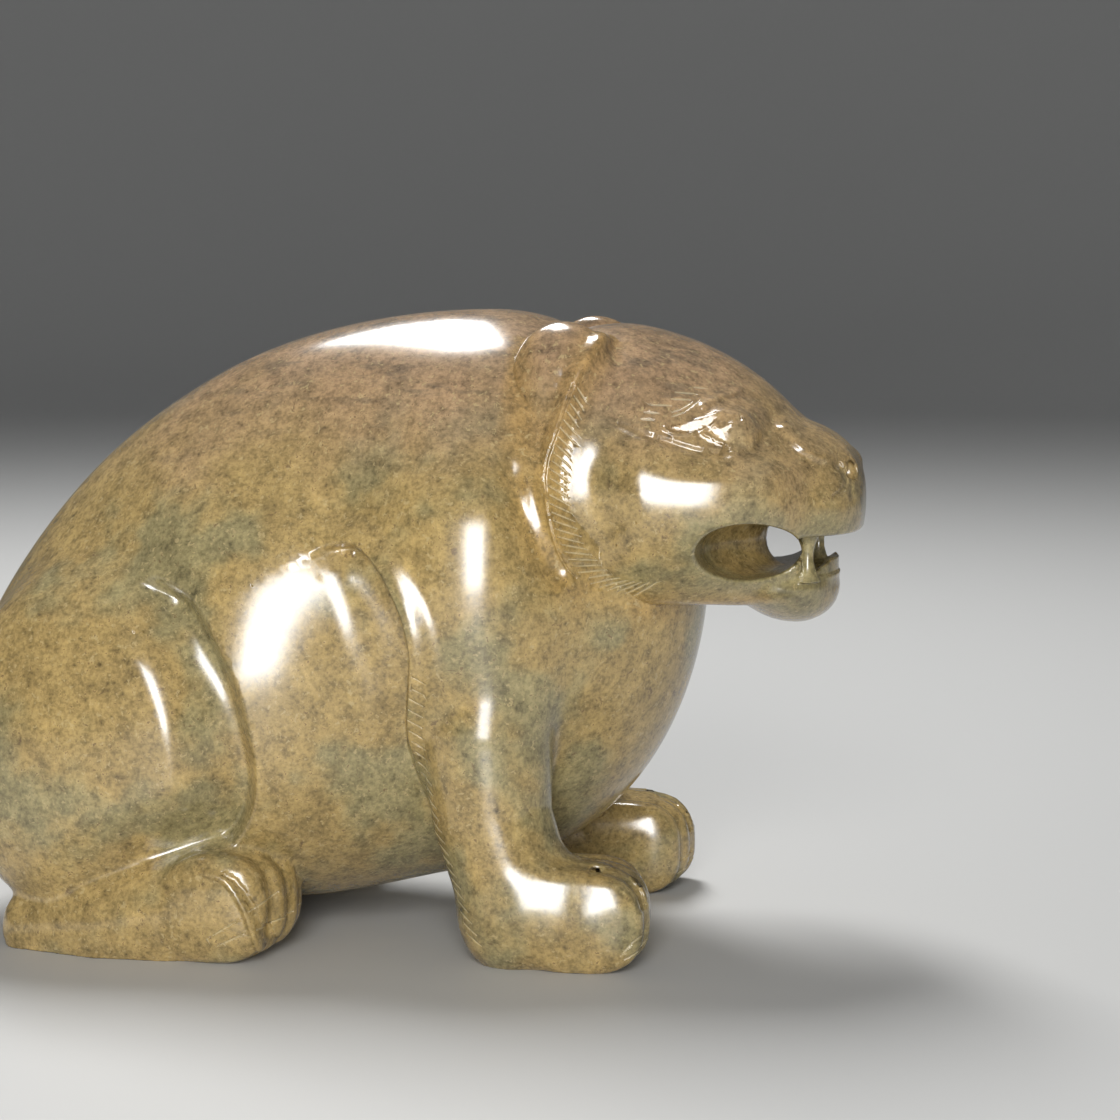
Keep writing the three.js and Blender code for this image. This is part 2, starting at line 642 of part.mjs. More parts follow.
  let left = faces.length;
  while (left > target && heap.length) {
    const { a, b, place, ages } = takeCheapest();
    if (!touching[a] || !touching[b] || ages[0] !== age[a] || ages[1] !== age[b]) continue;
    const nearB = neighbours(b);
    if (!nearB.has(a)) continue;
    const shared = [...neighbours(a)].filter((p) => nearB.has(p));
    if (shared.length !== 2 || turnsOver(a, b, place) || turnsOver(b, a, place)) continue;
    points[a] = place;
    for (const f of touching[b]) {
      if (corner[f].includes(a)) {
        alive[f] = 0;
        left--;
        for (const p of corner[f]) if (p !== b) touching[p].delete(f);
      } else {
        corner[f] = corner[f].map((p) => (p === b ? a : p));
        touching[a].add(f);
      }
    }
    touching[b] = null;
    quadrics[a] = quadrics[a].map((value, i) => value + quadrics[b][i]);
    age[a]++;
    for (const p of neighbours(a)) offer(a, p);
  }
  return { points, faces: corner.filter((_, f) => alive[f]) };
}

function facetedSolid({ points, faces }) {
  const used = new Map();
  const position = [];
  const index = faces.flat().map((p) => {
    if (!used.has(p)) {
      used.set(p, used.size);
      position.push(...points[p]);
    }
    return used.get(p);
  });
  const geometry = new THREE.BufferGeometry();
  geometry.setAttribute("position", new THREE.Float32BufferAttribute(position, 3));
  geometry.setIndex(index);
  geometry.computeVertexNormals();
  return geometry;
}

// The origin sits under the middle of the bear, on the ground it stands on.
function centred(geometry) {
  geometry.computeBoundingBox();
  const { min, max } = geometry.boundingBox;
  return geometry.translate(-(min.x + max.x) / 2, -(min.y + max.y) / 2, -min.z);
}

function jadeBear() {
  const margin = 3;
  const low = [-bearLength / 2 - margin, -bearWidth / 2 - margin, -margin];
  const high = [bearLength / 2 + margin, bearWidth / 2 + margin, bearHeight + margin];
  const mesh = surface(bearDistance, low, high);
  settle(mesh.points, bearDistance);
  const stone = new THREE.MeshStandardMaterial({ color: 0x8f7a4e, roughness: 0.22, metalness: 0 });
  const bear = new THREE.Mesh(centred(facetedSolid(simplify(mesh, facetCount))), stone);
  bear.name = "bear";
  return bear;
}

const carving = new THREE.Group();
carving.add(jadeBear());

export default carving;
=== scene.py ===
import math

import bpy
import numpy as np
from mathutils import Matrix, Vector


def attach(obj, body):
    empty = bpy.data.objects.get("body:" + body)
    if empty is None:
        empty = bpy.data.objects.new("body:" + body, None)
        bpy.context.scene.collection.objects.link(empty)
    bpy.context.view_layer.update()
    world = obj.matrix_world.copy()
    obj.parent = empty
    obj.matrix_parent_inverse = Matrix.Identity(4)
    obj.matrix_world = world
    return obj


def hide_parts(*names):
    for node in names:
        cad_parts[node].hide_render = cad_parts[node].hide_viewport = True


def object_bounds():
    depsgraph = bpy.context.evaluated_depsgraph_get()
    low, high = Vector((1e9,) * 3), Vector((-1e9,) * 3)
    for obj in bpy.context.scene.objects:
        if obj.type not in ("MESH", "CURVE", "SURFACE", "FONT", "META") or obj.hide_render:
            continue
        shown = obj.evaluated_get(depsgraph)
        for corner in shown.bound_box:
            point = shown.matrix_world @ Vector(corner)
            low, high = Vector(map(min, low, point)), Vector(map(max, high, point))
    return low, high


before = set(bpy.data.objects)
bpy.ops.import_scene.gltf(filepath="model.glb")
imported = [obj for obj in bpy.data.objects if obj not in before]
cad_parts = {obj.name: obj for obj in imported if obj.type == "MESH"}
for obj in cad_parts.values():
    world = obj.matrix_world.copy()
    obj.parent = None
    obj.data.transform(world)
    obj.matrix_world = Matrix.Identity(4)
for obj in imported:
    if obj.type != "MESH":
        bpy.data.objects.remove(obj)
cad_low, cad_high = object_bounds()

MM = 0.001
RUMP_X = -47.5
NOSE_X = 44.6
HALF_WIDTH = 27
HEIGHT = 62
SHIFT_X = cad_high[0] / MM - NOSE_X

# Depths and widths of the carving, in millimetres
HAUNCH_GROOVE_DEPTH = 2.4
HAUNCH_BEVEL_WIDTH = 6.5
HAUNCH_LIP_WIDTH = 1.9
SHOULDER_EDGE_RISE = 0.9
SHOULDER_WALL_DEPTH = 0.9
SHOULDER_WALL_WIDTH = 4.0
FLANK_SLOPE = 0.085
FLANK_BACK_X = -16.0
FLANK_BEND = 5.0
FLANK_Z, FLANK_REACH_Z = 26.0, 16.0
RUFF_EDGE_ROUNDING = 0.7
RUFF_CREST_RISE = 0.7
RUFF_CHANNEL_DEPTH = 1.3
NECK_FOLD_DEPTH = 0.8
EYE_DOME_RADIUS = 2.9
EYEBALL_RADIUS = 1.6
LID_RISE = 0.25
LID_WIDTH = 0.4
LENS_RISE = 0.6
FACET_TURN, FACET_LIFT = math.radians(9), math.radians(10)
BROW_STEP = 0.8
FACE_TAPER = 0.15
BRIDGE_RISE = 0.6
CHEEK_CREASE_DEPTH = 0.35
NOSTRIL_RADIUS = 0.9
STROKE_WIDTH = 0.19
STROKE_DEPTH = 0.09
CREST_GROOVE_WIDTH = 0.3
CREST_GROOVE_DEPTH = 0.12
CREASE_WIDTH = 0.6
CREASE_DEPTH = 0.25
RIDGE_WIDTH = 0.9
RIDGE_RISE = 0.4
LINE_FADE = 2.0
TOE_SQUARENESS = 2.7
TOE_BLEND = 0.8
PAW_BLEND = 2.5

# Fineness of the mesh
CELL = 0.76
BEND_EDGE = 0.3
BEND = 0.045
STROKE_EDGE = 0.16
STROKE_SPREAD = 3.0
BLOCK = 6


# Tools for signed distances
def fade(start, end, value):
    t = np.clip((value - start) / (end - start), 0, 1)
    return t * t * (3 - 2 * t)


def bump(offset, width):
    """1 at zero, fading to 0 at the given width."""
    return 1 - fade(0, width, np.abs(offset))


def blend(a, b, width):
    overlap = np.maximum(width - np.abs(a - b), 0) / width
    return np.minimum(a, b) - overlap * overlap * width / 4


def meet(a, b, width):
    return -blend(-a, -b, width)


def carve(a, tool, width):
    return meet(a, -tool, width)


def egg(centre, reach, pitch=0.0, squareness=2.0):
    """An egg has its own reach to the back, front, side, top and bottom, and may pitch its front down."""
    cx, cy, cz = centre
    back, front, side, up, down = reach
    cos = math.cos(math.radians(pitch))
    sin = math.sin(math.radians(pitch))

    def distance(x, y, z):
        dx = (x - cx) * cos - (z - cz) * sin
        dz = (x - cx) * sin + (z - cz) * cos
        a = np.where(dx > 0, front, back)
        c = np.where(dz > 0, up, down)
        qx = np.abs(dx) / a
        qy = np.abs(y - cy) / side
        qz = np.abs(dz) / c
        near = np.maximum((qx**squareness + qy**squareness + qz**squareness) ** (1 / squareness), 1e-6)
        steep = squareness - 1
        slope = np.sqrt((qx**steep / a) ** 2 + (qy**steep / side) ** 2 + (qz**steep / c) ** 2) / near**steep
        return (near - 1) / np.maximum(slope, 1e-6)

    return distance


def limb(joints, tallness=1.0):
    """A limb runs through joints, each a point with a girth, and its section may be taller than wide."""

    def distance(x, y, z):
        nearest = np.full(x.shape, np.inf)
        for (ax, ay, az, ra), (bx, by, bz, rb) in zip(joints, joints[1:]):
            ux, uy, uz = bx - ax, by - ay, (bz - az) / tallness
            px, py, pz = x - ax, y - ay, (z - az) / tallness
            t = np.clip((px * ux + py * uy + pz * uz) / (ux * ux + uy * uy + uz * uz), 0, 1)
            away = np.sqrt((px - t * ux) ** 2 + (py - t * uy) ** 2 + (pz - t * uz) ** 2)
            nearest = np.minimum(nearest, away - (ra + t * (rb - ra)))
        return nearest

    return distance


def in_parts(distance, points, size=200000):
    parts = [distance(points[i : i + size]) for i in range(0, len(points), size)]
    return np.concatenate(parts)


def slope_at(distance, points, reach=0.03):
    """Distance and its slope, from four places around each point."""
    total = np.zeros(len(points))
    slope = np.zeros((len(points), 3))
    for corner in ((1, -1, -1), (-1, -1, 1), (-1, 1, -1), (1, 1, 1)):
        value = in_parts(distance, points + np.array(corner) * reach)
        total += value / 4
        slope += value[:, None] * np.array(corner) / (4 * reach)
    return total, slope


class SideLine:
    """A line drawn on the bear's side. Off is positive to the left of the line as it is drawn."""

    def __init__(self, points, steps=4):
        corners = np.array(points, float)
        before = np.vstack([2 * corners[0] - corners[1], corners[:-1]])
        after = np.vstack([corners[1:], 2 * corners[-1] - corners[-2]])
        slopes = (after - before) / 2
        samples = []
        for i in range(len(corners) - 1):
            for t in np.arange(steps) / steps:
                h = (2 * t**3 - 3 * t**2 + 1, t**3 - 2 * t**2 + t, 3 * t**2 - 2 * t**3, t**3 - t**2)
                samples.append(
                    h[0] * corners[i] + h[1] * slopes[i] + h[2] * corners[i + 1] + h[3] * slopes[i + 1]
                )
        self.samples = np.array(samples + [corners[-1]])
        self.low = self.samples.min(axis=0)
        self.high = self.samples.max(axis=0)

    def near(self, x, z, reach):
        return (
            (x > self.low[0] - reach)
            & (x < self.high[0] + reach)
            & (z > self.low[1] - reach)
            & (z < self.high[1] + reach)
        )

    def measure(self, x, z):
        away = np.full(x.shape, np.inf)
        off = np.zeros(x.shape)
        along = np.zeros(x.shape)
        last = len(self.samples) - 1
        for i in range(last):
            ax, az = self.samples[i]
            ux, uz = self.samples[i + 1] - self.samples[i]
            px, pz = x - ax, z - az
            t = np.clip((px * ux + pz * uz) / (ux * ux + uz * uz), 0, 1)
            gap = np.hypot(px - t * ux, pz - t * uz)
            closer = gap < away
            away = np.where(closer, gap, away)
            off = np.where(closer, np.where(ux * pz - uz * px > 0, gap, -gap), off)
            along = np.where(closer, (i + t) / last, along)
        return off, along

    def place(self, share):
        """The point at a share of the line's length."""
        steps = np.linalg.norm(np.diff(self.samples, axis=0), axis=1)
        reached = np.concatenate([[0], np.cumsum(steps)])
        return np.array([np.interp(share * reached[-1], reached, self.samples[:, k]) for k in (0, 1)])


# Trunk
rump = egg((-24.7, 0, 18.1), (22.1, 33, 24, 24.4, 15.3))
chest = egg((7.9, 0, 36.9), (41.5, 21.3, 20.3, 24.7, 29.9))
barrel = egg((-14, 0, 27), (18, 24, 24.3, 24, 23.4))
tail = limb([(-44.6, 0, 24, 1.7), (-45.1, 0, 17.5, 2.6), (-43.3, 0, 11.6, 2.2)])

# Limbs, drawn for one side
thigh = egg((-27, 15.5, 19), (16, 14.6, 10, 17.4, 17), squareness=2.3)
shoulder = egg((7.8, 10.5, 35), (11, 10.3, 13.4, 15, 17), squareness=2.4)
foreleg = limb([(10.6, 15.4, 33, 7.2), (9.8, 17, 22, 6.5), (10.6, 17.8, 14, 5.7), (13, 18, 6.2, 5.5)])
hind_foot = limb(
    [(-35, 18.4, 1.8, 2.9), (-27, 20.3, 2.8, 3.8), (-21, 20.2, 3.9, 4.6), (-15.5, 19.6, 4.9, 4.9)],
    tallness=1.28,
)
heel = limb([(13, 18.1, 3.6, 5.0), (20, 18.4, 4.9, 4.9)])


def toes(centre, back, tips, spacing, side, up, down):
    """Blunt toes side by side, from the innermost one's centre. Tips say how far forward each reaches."""
    cx, cy, cz = centre
    row = []
    for i, tip in enumerate(tips):
        place = (cx, cy + spacing * i, cz)
        row.append(egg(place, (back, tip - cx, side, up, down), squareness=TOE_SQUARENESS))
    return row


front_toes = toes((19.3, 13.9, 4.6), 6, (24.9, 25.6, 25.9, 25.6), 2.45, 2.1, 5.1, 4.8)
hind_toes = toes((-15.2, 15.2, 5.2), 5, (-8.8, -8.5, -9.0, -10.1), 2.6, 2.2, 5.3, 5.2)

# Head
cranium = egg((20, 0, 45), (14, 21.6, 18.6, 15.3, 15), pitch=12)
cheek = egg((29, 6.5, 44.6), (13, 10.5, 11.4, 4.9, 7.7), squareness=2.5)
temple = egg((29, 7, 49.8), (8, 6.4, 6.9, 3.4, 6), squareness=2.4)
flew = egg((41, 4.7, 43), (5, 2.6, 4.7, 3.2, 3.2))
lower_lip = egg((36.8, 4.4, 35), (3.8, 4.2, 5, 1.5, 1.9))
nose_wing = egg((42.4, 4.0, 46.6), (2.4, 1.6, 1.9, 1.3, 1.3))
muzzle = egg((30, 0, 43.2), (12, 14.6, 10.8, 8.5, 10), squareness=2.7)
chin = egg((38, 0, 34.4), (5.4, 4.2, 7.8, 1.9, 3.4))
ear = egg((16.4, 11.8, 56), (4.7, 4.8, 3, 4.7, 7))
EAR_LEAN = 0.3
EAR_Z = 56
BROW_Z = 48

# Lines of the carving on the side, from the ear and shoulder downwards
ruff_edge = SideLine(
    [(12, 75), (12, 60), (12.3, 55.5), (13.4, 49.9), (14, 46.1), (15.2, 41.4), (17.3, 37.2), (20.2, 34.8),
     (24.9, 33.7), (30.5, 33.5), (34, 33.2), (44, 33)]
)
ruff_crest = SideLine(
    [(20.3, 59.2), (18.6, 56.2), (17.6, 53.6), (16.8, 50.8), (15.9, 47.9), (15.8, 45.1), (16.5, 41.4),
     (18, 37.6), (21, 35)]
)
neck_fold = SideLine([(11.6, 49.5), (12.5, 46.5), (13.4, 43.6), (14.6, 40.6), (16.4, 37.6)])
haunch_groove = SideLine(
    [(-25, 36.2), (-20.6, 34.9), (-17.8, 33.1), (-15.4, 29.3), (-13.8, 25.6), (-12.9, 21.3), (-12.6, 18),
     (-13.3, 14.7), (-15.6, 11.7), (-20, 10), (-25.5, 8.2), (-31, 6.4)]
)
shoulder_edge = SideLine(
    [(-8, 38.2), (-5.2, 39.8), (-2.4, 40.3), (-0.5, 39.4), (1.4, 37.2), (3.1, 33.9), (4, 30.2), (3.8, 26.9),
     (3.3, 22.1), (3.9, 18.3), (5.8, 10.8)]
)
cheek_crease = SideLine([(21.1, 51.7), (24.3, 50.4), (26.7, 49.6), (30, 48.6), (33.3, 48.4)])
lid_top = SideLine([(26.7, 50.9), (27.7, 51.2), (28.9, 51.5), (30.1, 51.9), (31.3, 52.3), (32.4, 52.5)])
upper_lid = SideLine([(26.7, 50.9), (27.6, 50.5), (28.9, 50.4), (30.1, 50.7), (31.2, 51.4), (32.4, 52.5)])
lower_lid = SideLine([(29.6, 50.4), (30.4, 50.2), (31.2, 49.8), (32.2, 49.3), (33.4, 48.9)])
lid_bottom = SideLine([(29.6, 50.4), (30.0, 49.9), (30.8, 49.4), (31.9, 49.0), (33.4, 48.9)])
lens_top = SideLine([(31.0, 50.4), (31.8, 51.1), (32.6, 51.4), (33.4, 51.3)])
lens_bottom = SideLine([(31.0, 50.4), (31.8, 50.3), (32.6, 50.5), (33.4, 51.3)])
nose_bridge = SideLine([(36.6, 51.9), (38.2, 49.9), (40.2, 48.4), (42.4, 47.3)])
leg_rear = SideLine(
    [(4.1, 28), (3.4, 24), (3.4, 22.1), (4, 18.3), (4.8, 14.5), (5.9, 10.8), (7.3, 7), (8.8, 3.4)]
)
hair_root = SideLine(
    [(18.4, 54.6), (17, 50.6), (16.4, 47.6), (16.2, 45), (16.9, 41.4), (18.3, 38.2), (20.4, 35.9),
     (23.6, 34.8)]
)

# Mouth
MOUTH_X, MOUTH_Z = 34.4, 39.1
MOUTH_REACH_X, MOUTH_REACH_Z = 4.7, 2.9
MOUTH_WAIST_X, MOUTH_WAIST_Z = 0.44, 0.84
LIP_BACK, LIP_TOP, LIP_BOTTOM = 39.1, 40.2, 36.2
CANINE_X, CANINE_Y, CANINE_FOOT, CANINE_TIP = 39.6, 7.4, 35.7, 40.7
CANINE_WAIST, CANINE_FLARE = 1.1, 0.9
ARCH_X, ARCH_REACH_X, ARCH_REACH_Y, TOOTH_THICKNESS, TOOTH_HEIGHT = 37.2, 4.2, 6.8, 1.4, 2.2
NOSTRIL = (43.2, 4.6, 46.2)
CARVING_REACH = 4.0


def body(x, y, z):
    d = blend(rump(x, y, z), chest(x, y, z), 12)
    d = blend(d, barrel(x, y, z), 5)
    d = blend(d, thigh(x, y, z), 4)
    d = blend(d, shoulder(x, y, z), 4)
    return np.where(x < -30, blend(d, tail(x, y, z), 1.2), d)


def limbs(x, y, z):
    leg = foreleg(x, y, z)
    foot = hind_foot(x, y, z)
    low = z < 14
    if low.any():
        place = x[low], y[low], z[low]
        paw = heel(*place)
        lower_foot = foot[low]
        for toe in front_toes:
            paw = blend(paw, toe(*place), TOE_BLEND)
        for toe in hind_toes:
            lower_foot = blend(lower_foot, toe(*place), TOE_BLEND)
        foot[low] = lower_foot
        leg[low] = blend(leg[low], paw, PAW_BLEND)
    return np.minimum(leg, foot)


def haunch_carving(x, z):
    off, along = haunch_groove.measure(x, z)
    width = np.where(off < 0, HAUNCH_BEVEL_WIDTH, HAUNCH_LIP_WIDTH)
    ends = fade(0, 0.15, along) * fade(-33, -19, x)
    return HAUNCH_GROOVE_DEPTH * (1 - fade(0, 1, np.abs(off) / width)) * ends


def shoulder_carving(x, z):
    off, along = shoulder_edge.measure(x, z)
    ends = fade(0, 0.25, along) * fade(1, 0.6, along)
    ridge = -SHOULDER_EDGE_RISE * bump(off, 3)
    wall = SHOULDER_WALL_DEPTH * fade(0, -0.9, off) * bump(off, SHOULDER_WALL_WIDTH)
    behind = wall - SHOULDER_EDGE_RISE * bump(off, 0.9)
    return np.where(off > 0, ridge, behind) * ends


def flank_hollow(x, z):
    """The flank falls away forwards, down to the shoulder's edge."""
    off, _ = shoulder_edge.measure(x, z)
    ahead = np.maximum(x - FLANK_BACK_X, 0)
    fall = np.where(ahead < FLANK_BEND, ahead**2 / (2 * FLANK_BEND), ahead - FLANK_BEND / 2)
    return FLANK_SLOPE * fall * bump(z - FLANK_Z, FLANK_REACH_Z) * fade(0, -0.9, off)


def head(x, y, z):
    brow = 4 + (BROW_STEP - 4) * fade(BROW_Z - 2, BROW_Z, z)
    narrow = 1 + FACE_TAPER * fade(22, 36, x) * fade(42, 52, z)
    d = blend(cranium(x, y * narrow, z), muzzle(x, y, z), brow)
    near = d < CARVING_REACH
    if not near.any():
        return d
    x, y, z = x[near], y[near], z[near]
    off, _ = ruff_edge.measure(x, z)
    part = meet(d[near], -off, RUFF_EDGE_ROUNDING)
    part = blend(part, chin(x, y, z), 1.5)
    part = blend(part, temple(x, y, z), 2.5)
    part = blend(part, cheek(x, y, z), 3)
    part = blend(part, flew(x, y, z), 2)
    part = blend(part, lower_lip(x, y, z), 1)
    part = blend(part, nose_wing(x, y, z), 0.8)
    upright = y + EAR_LEAN * (z - EAR_Z)
    part = blend(part, ear(x, upright, z), 1.2)
    off, along = ruff_crest.measure(x, z)
    ends = fade(1, 0.85, along) * (y > 8)
    part = part - RUFF_CREST_RISE * bump(off, 1.4) * ends
    floor = fade(-0.6, 4.2, off) * (1 - fade(4.2, 9.0, off))
    part = part + RUFF_CHANNEL_DEPTH * floor * ends * fade(0, 0.3, along)
    d[near] = part
    return d


def head_side(x, z):
    """How far out from the middle the head reaches at a point of the side plane."""
    y = np.linspace(0, 30, 3001)
    inside = head(np.full(y.shape, x), y, np.full(y.shape, z)) < 0
    return y[inside].max()


def under_head(x, z, depth):
    """A point at a depth under the head's surface, along the surface's own slope."""
    point = np.array([[x, head_side(x, z), z]])
    slope = slope_at(lambda p: head(p[:, 0], p[:, 1], p[:, 2]), point)[1][0]
    return point[0] - slope / np.linalg.norm(slope) * depth


EYE_DOME = under_head(33.2, 50.7, 0.66 * EYE_DOME_RADIUS)
EYEBALL = under_head(32.3, 50.6, 0.76 * EYEBALL_RADIUS)


EYE_FACETS = (
    (lid_top, upper_lid, (29.3, head_side(29.3, 51.3), 51.3)),
    (lower_lid, lid_bottom, (30.6, head_side(30.6, 49.8), 49.8)),
    (lens_top, lens_bottom, (32.2, head_side(32.2, 50.8) + LENS_RISE, 50.8)),
)


def facet(d, x, y, z, top, bottom, pivot):
    """Turns the stone between two lines of the side plane into a flat facet through the pivot."""
    above, along = top.measure(x, z)
    below, _ = bottom.measure(x, z)
    ends = fade(0, 0.08, along) * fade(1, 0.75, along)
    share = fade(0.08, -0.12, above) * fade(-0.08, 0.12, below) * ends
    turn_x, turn_z = math.sin(FACET_TURN), math.sin(FACET_LIFT)
    out = math.sqrt(1 - turn_x**2 - turn_z**2)
    flat = (x - pivot[0]) * turn_x + (y - pivot[1]) * out + (z - pivot[2]) * turn_z
    return d + share * (flat - d)


def face(d, x, y, z):
    dome = np.sqrt((x - EYE_DOME[0]) ** 2 + (y - EYE_DOME[1]) ** 2 + (z - EYE_DOME[2]) ** 2)
    d = blend(d, dome - EYE_DOME_RADIUS, 0.8)
    for lid in (upper_lid, lower_lid):
        near = lid.near(x, z, 0.5) & (y > 5)
        off, along = lid.measure(x[near], z[near])
        d[near] -= LID_RISE * bump(off, LID_WIDTH) * fade(1, 0.8, along)
    ball = np.sqrt((x - EYEBALL[0]) ** 2 + (y - EYEBALL[1]) ** 2 + (z - EYEBALL[2]) ** 2)
    d = blend(d, ball - EYEBALL_RADIUS, 0.6)
    for top, bottom, pivot in EYE_FACETS:
        near = top.near(x, z, 1) & (y > 5)
        d[near] = facet(d[near], x[near], y[near], z[near], top, bottom, pivot)
    near = cheek_crease.near(x, z, 1) & (y > 8)
    off, along = cheek_crease.measure(x[near], z[near])
    d[near] += CHEEK_CREASE_DEPTH * bump(off, 0.6) * fade(0, 0.1, along) * fade(1, 0.9, along)
    near = nose_bridge.near(x, z, 1.5) & (y > 1)
    off, along = nose_bridge.measure(x[near], z[near])
    d[near] -= BRIDGE_RISE * bump(off, 1.2) * fade(0, 0.2, along) * fade(1, 0.8, along)
    nose = np.sqrt((x - NOSTRIL[0]) ** 2 + (y - NOSTRIL[1]) ** 2 + (z - NOSTRIL[2]) ** 2)
    return carve(d, nose - NOSTRIL_RADIUS, 0.3)


def mouth(d, x, y, z):
    wide = fade(0, 10, y)
    reach_x = MOUTH_REACH_X * (MOUTH_WAIST_X + (1 - MOUTH_WAIST_X) * wide)
    reach_z = MOUTH_REACH_Z * (MOUTH_WAIST_Z + (1 - MOUTH_WAIST_Z) * wide)
    qx = (x - MOUTH_X - (MOUTH_REACH_X - reach_x)) / reach_x
    qz = (z - MOUTH_Z) / reach_z
    bore = (np.hypot(qx, qz) - 1) * reach_z
    gap = np.maximum(LIP_BACK - x, np.abs(z - (LIP_TOP + LIP_BOTTOM) / 2) - (LIP_TOP - LIP_BOTTOM) / 2)
    d = carve(d, np.minimum(bore, gap), 0.5)
    rise = np.clip((z - CANINE_FOOT) / (CANINE_TIP - CANINE_FOOT), 0, 1)
    pillar = CANINE_WAIST / 2 + CANINE_FLARE * (2 * rise - 1) ** 2
    past_ends = np.maximum(CANINE_FOOT - z, z - CANINE_TIP)
    canine = np.maximum(np.hypot(x - CANINE_X, y - CANINE_Y) - pillar, past_ends)
    from_arch = np.hypot((x - ARCH_X) / ARCH_REACH_X, y / ARCH_REACH_Y) - 1
    teeth = np.maximum(ARCH_X - x, np.abs(from_arch) * ARCH_REACH_X - TOOTH_THICKNESS / 2)
    tip = CANINE_FOOT + TOOTH_HEIGHT * (0.3 + 0.7 * fade(39.5, 42.5, x))
    teeth = np.maximum(teeth, np.maximum(CANINE_FOOT - z, z - tip))
    return np.minimum(d, blend(canine, teeth, 0.4))


# Fine lines, drawn on the side plane. Each has a width, a depth, and how far out on the side it starts.
def stroke(start, angle, length):
    turn = math.radians(angle)
    end = (start[0] + length * math.cos(turn), start[1] + length * math.sin(turn))
    return (*start, *end, STROKE_WIDTH, STROKE_DEPTH, 8)


def hair_strokes(count=31):
    """The ruff's strokes slant down at the ear, lie level further on, and rise at the jaw."""
    strokes = []
    for i in range(count):
        t = i / (count - 1)
        start = hair_root.place(t)
        angle = np.interp(t, (0, 0.35, 0.6, 0.75, 1), (-62, -36, -20, 0, 32))
        strokes.append(stroke(start, angle, 1.7 + 1.0 * t))
    return strokes


def leg_strokes(count=24):
    strokes = []
    for i in range(count):
        t = i / (count - 1)
        start = leg_rear.place(t)
        strokes.append(stroke(start, -32, 1.4 + 0.5 * t))
    return strokes


def chain(points, width, depth, inner):
    return [(*a, *b, width, depth, inner) for a, b in zip(points, points[1:])]


BROW_STROKES = [
    (28.9, 54.5, 29.8, 54.4), (27.3, 54.1, 29.2, 53.9), (27.0, 53.5, 28.7, 53.4), (25.0, 53.0, 27.1, 52.9),
    (24.7, 52.3, 26.1, 52.2), (24.4, 51.7, 25.7, 51.6), (27.2, 52.3, 28.0, 52.6), (28.0, 52.6, 28.9, 53.2),
    (27.2, 51.9, 28.3, 52.3), (28.3, 52.3, 29.5, 53.3),
]
CLAW_LINES = [
    (-15.7, 2.6, -12.3, 4.7), (-11.5, 5.4, -9.5, 6.7), (-14.7, 2.0, -11.9, 3.3), (-10.8, 3.6, -8.8, 4.2),
    (23.6, 2.0, 24.7, 3.3), (24.7, 3.3, 25.6, 3.9), (23.9, 1.6, 25.0, 2.2), (25.0, 2.2, 25.8, 3.1),
]
PALE_STROKES = hair_strokes() + leg_strokes()
PALE_STROKES += [(*ends, STROKE_WIDTH, STROKE_DEPTH, 8) for ends in BROW_STROKES]
PALE_STROKES += [(*ends, STROKE_WIDTH, STROKE_DEPTH, 14) for ends in CLAW_LINES]

crest_top = [tuple(point) for point in ruff_crest.samples[6:-3]]
toe_ridge = [
    (-15.8, 9.0), (-14.6, 8.8), (-13.6, 8.3), (-12.8, 7.4), (-11.8, 5.6), (-11.1, 3.4), (-10.7, 1.4),
]
toe_groove = [(x + 0.75, z + 0.1) for x, z in toe_ridge[1:]]
paw_groove = [(20.6, 9.5), (22.2, 9.3), (23.6, 8.8), (24.8, 7.6), (25.4, 6.2)]
brow_ridge = [(30.0, 52.9), (30.7, 53.3), (31.5, 53.7), (32.6, 54.0)]
eye_fold = [(31.9, 51.2), (32.7, 51.6), (33.5, 51.7)]
nostril_crease = [(42.4, 47.0), (43.0, 46.1), (43.2, 45.2), (42.9, 44.5), (42.2, 44.1)]
nose_line = [(43.3, 47.2), (43.5, 45.9), (43.6, 44.6), (43.8, 43.6)]
EYE_RING_X, EYE_RING_Z, EYE_RING_RADIUS = 33.2, 51.0, 2.7
eye_ring = [
    (EYE_RING_X + EYE_RING_RADIUS * math.cos(angle), EYE_RING_Z + EYE_RING_RADIUS * math.sin(angle))
    for angle in np.radians(np.arange(-70, 100, 17))
]
CREASES = chain(crest_top, CREST_GROOVE_WIDTH, CREST_GROOVE_DEPTH, 8)
CREASES += chain(toe_ridge, RIDGE_WIDTH, -RIDGE_RISE, 21)
CREASES += chain(toe_groove, CREASE_WIDTH, CREASE_DEPTH, 19)
CREASES += chain(paw_groove, CREASE_WIDTH, CREASE_DEPTH, 17)
CREASES += chain(brow_ridge, RIDGE_WIDTH, -0.5 * RIDGE_RISE, 5)
CREASES += chain(eye_fold, CREASE_WIDTH, CREASE_DEPTH, 8)
CREASES += chain(eye_ring, 2 * CREASE_WIDTH, 0.6 * CREASE_DEPTH, 5)
CREASES += chain(nostril_crease, CREASE_WIDTH, CREASE_DEPTH, 4)
CREASES += chain(nose_line, CREASE_WIDTH, 0.6 * CREASE_DEPTH, 3)


def near_line(line, x, y, z, reach):
    """Which points lie close to a fine line, and how far from its middle they are."""
    ax, az, bx, bz, _, _, inner = line
    near = (
        (x > min(ax, bx) - reach)
        & (x < max(ax, bx) + reach)
        & (z > min(az, bz) - reach)
        & (z < max(az, bz) + reach)
        & (y > inner)
    )
    px, pz = x[near] - ax, z[near] - az
    ux, uz = bx - ax, bz - az
    t = np.clip((px * ux + pz * uz) / (ux * ux + uz * uz), 0, 1)
    return near, np.hypot(px - t * ux, pz - t * uz), t


